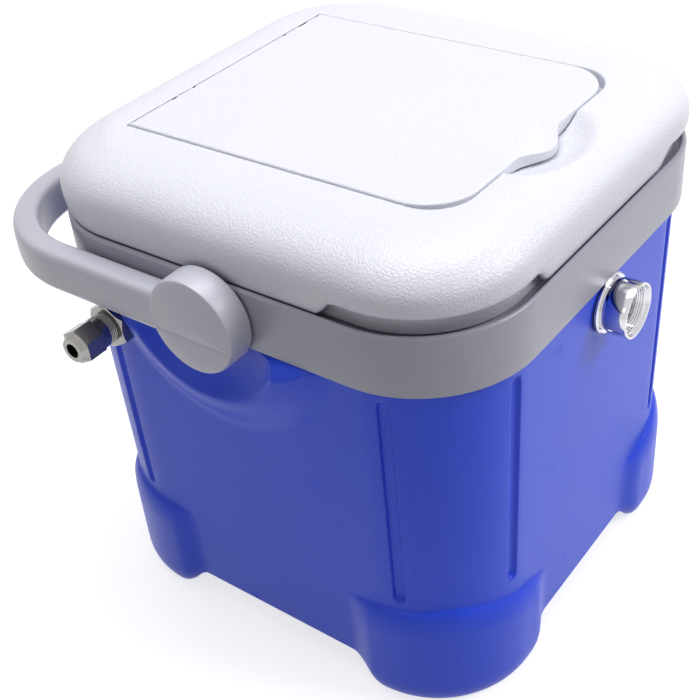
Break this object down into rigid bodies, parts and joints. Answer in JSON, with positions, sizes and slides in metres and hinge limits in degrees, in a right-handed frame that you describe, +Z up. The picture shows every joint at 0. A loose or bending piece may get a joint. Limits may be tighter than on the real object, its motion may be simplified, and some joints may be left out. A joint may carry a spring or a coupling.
{
  "type": "jockey box drink cooler",
  "caption": "Square insulated cooler with a padded-look hinged lid, inset hatch, bail handle, inner chilling coil, side inlet fitting and a front shank for a tap.",
  "frame": {"origin": "middle of the whole model's footprint, on the floor", "axes": "+Z up; the tap shank leaves the front wall towards -Y; the inlet fitting leaves the side wall towards -X; the folded handle reaches to +Y"},
  "size_m": [0.3608, 0.3666, 0.3275],
  "materials": {
    "outer_shell": "moulded polyethylene with a fine grain",
    "base_pan": "moulded polyethylene with a fine grain",
    "body_foam": "rigid insulating foam",
    "floor_foam": "rigid insulating foam",
    "inner_liner": "smooth white moulded liner",
    "rim_collar": "satin moulded plastic with a fine grain",
    "lid_cover": "moulded plastic with a leather-like grain",
    "lid_foam": "rigid insulating foam",
    "lid_tray": "smooth white moulded liner",
    "lid_hinge_pins": "plain steel rod",
    "hatch_cover": "moulded plastic with a leather-like grain",
    "hatch_plug": "smooth white moulding",
    "hatch_hinge_pins": "plain steel rod",
    "carry_handle": "satin moulded plastic",
    "tap_shank": "chrome plated",
    "shank_flange": "chrome plated",
    "shank_outer_washer": "soft black rubber",
    "shank_inner_washer": "soft black rubber",
    "shank_locknut": "chrome plated",
    "coupling_nut": "bright chrome plating",
    "tail_piece": "chrome plated",
    "tail_nut": "chrome plated",
    "outlet_hose": "clear flexible vinyl",
    "hose_clamps": "stainless band",
    "cooling_coil": "drawn stainless tube",
    "inlet_union": "turned stainless steel",
    "inlet_outer_washer": "soft black rubber",
    "inlet_inner_washer": "soft black rubber",
    "inlet_locknut": "turned stainless steel",
    "inlet_nut": "turned stainless steel",
    "inlet_ferrule": "plain",
    "coil_nut": "turned stainless steel",
    "coil_ferrule": "plain"
  },
  "bodies": {
    "cooler_box": {"outer_shell": "outer_shell", "base_pan": "base_pan", "body_foam": "body_foam", "floor_foam": "floor_foam", "inner_liner": "inner_liner", "rim_collar": "rim_collar", "lid_hinge_pins": "lid_hinge_pins", "tap_shank": "tap_shank", "shank_flange": "shank_flange", "shank_outer_washer": "shank_outer_washer", "shank_inner_washer": "shank_inner_washer", "shank_locknut": "shank_locknut", "tail_piece": "tail_piece", "tail_nut": "tail_nut", "outlet_hose": "outlet_hose", "hose_clamps": "hose_clamps", "cooling_coil": "cooling_coil", "inlet_union": "inlet_union", "inlet_outer_washer": "inlet_outer_washer", "inlet_inner_washer": "inlet_inner_washer", "inlet_locknut": "inlet_locknut", "inlet_ferrule": "inlet_ferrule", "coil_nut": "coil_nut", "coil_ferrule": "coil_ferrule"},
    "lid": {"lid_cover": "lid_cover", "lid_foam": "lid_foam", "lid_tray": "lid_tray", "hatch_hinge_pins": "hatch_hinge_pins"},
    "hatch": {"hatch_cover": "hatch_cover", "hatch_plug": "hatch_plug"},
    "handle": {"carry_handle": "carry_handle"},
    "coupling_nut": {"coupling_nut": "coupling_nut"},
    "inlet_nut": {"inlet_nut": "inlet_nut"}
  },
  "joints": [
    {"name": "handle_swing", "type": "hinge", "parent": "cooler_box", "child": "handle", "pos_m": [0.00632, -0.00668, 0.266], "axis": [1, 0, 0], "range_deg": [0, 180]},
    {"name": "lid_hinge", "type": "hinge", "parent": "cooler_box", "child": "lid", "pos_m": [0.00632, 0.14882, 0.292], "axis": [-1, 0, 0], "range_deg": [0, 90]},
    {"name": "hatch_hinge", "type": "hinge", "parent": "lid", "child": "hatch", "pos_m": [0.00632, 0.09832, 0.3235], "axis": [-1, 0, 0], "range_deg": [0, 88]},
    {"name": "coupling_nut_spin", "type": "hinge", "parent": "cooler_box", "child": "coupling_nut", "pos_m": [0.01632, -0.18332, 0.227], "axis": [0, -1, 0], "continuous": true},
    {"name": "inlet_nut_spin", "type": "hinge", "parent": "cooler_box", "child": "inlet_nut", "pos_m": [-0.18032, 0.08232, 0.226], "axis": [-1, 0, 0], "continuous": true}
  ]
}
